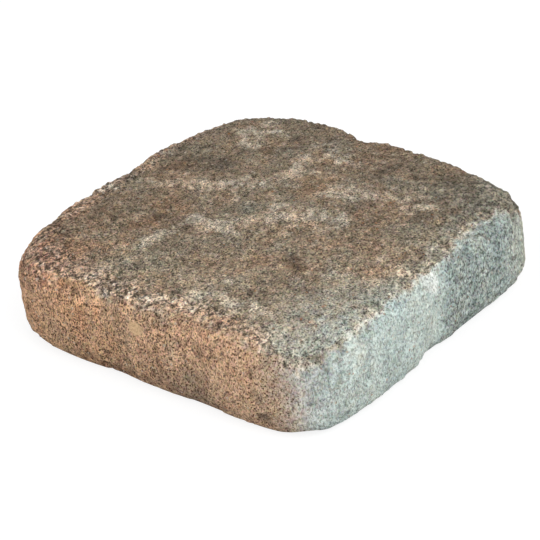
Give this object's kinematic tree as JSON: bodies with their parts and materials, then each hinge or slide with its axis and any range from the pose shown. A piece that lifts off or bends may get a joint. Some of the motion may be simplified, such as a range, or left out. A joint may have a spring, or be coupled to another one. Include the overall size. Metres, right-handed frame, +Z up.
{
  "type": "concrete paver",
  "caption": "Square tumbled concrete paver in mixed tan, brown and grey-blue, with worn rounded edges and a slightly rippled face.",
  "frame": {"origin": "centre of the underside, on the surface the paver rests on", "axes": "+Z up through the thickness, from the underside to the wearing face; X and Y along the two equal sides"},
  "size_m": [0.1778, 0.178, 0.0445],
  "materials": {
    "concrete": "rough"
  },
  "bodies": {
    "root": {"paver": "concrete"}
  },
  "joints": []
}
